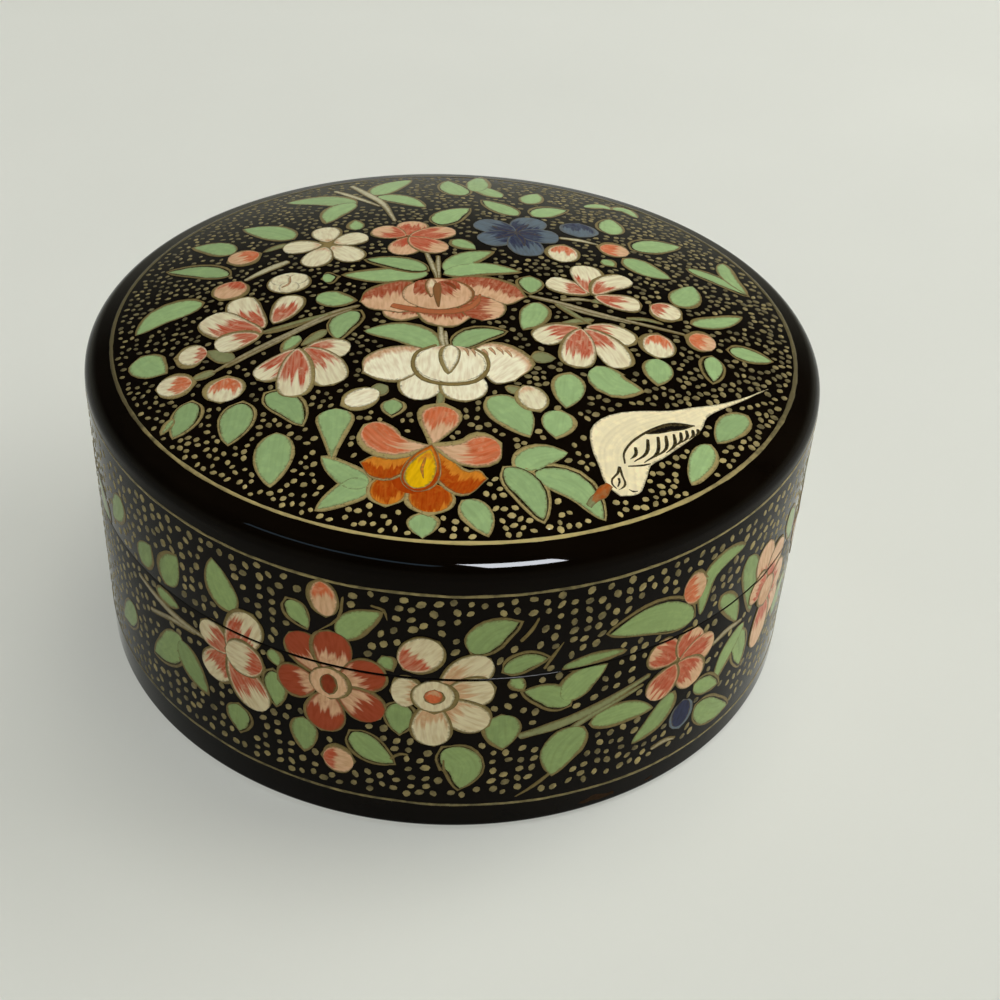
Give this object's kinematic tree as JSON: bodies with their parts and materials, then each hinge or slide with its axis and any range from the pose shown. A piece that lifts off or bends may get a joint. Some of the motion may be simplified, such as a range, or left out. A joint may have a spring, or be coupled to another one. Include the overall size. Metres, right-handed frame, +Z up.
{
  "type": "papier mache box",
  "caption": "Round papier mache trinket box with a gently domed lift-off lid, an inner locating collar and painted flowers on a black ground.",
  "frame": {"origin": "middle of the underside", "axes": "+Z up along the axis of the box, +Y towards the back of the lid's painting"},
  "size_m": [0.09, 0.09, 0.0456],
  "materials": {
    "painted_board": "rolled pasteboard with a black painted ground, painted flowers, gold dots and a clear gloss varnish",
    "plain_lacquered_board": "pasteboard painted black and varnished thinly"
  },
  "bodies": {
    "base": {"base_wall": "painted_board", "base_floor": "plain_lacquered_board", "locating_collar": "plain_lacquered_board"},
    "lid": {"lid_wall": "painted_board", "lid_crown": "painted_board"}
  },
  "joints": [
    {"name": "lid_lift", "type": "slide", "parent": "base", "child": "lid", "axis": [0, 0, 1], "range_m": [0, 0.04]}
  ]
}
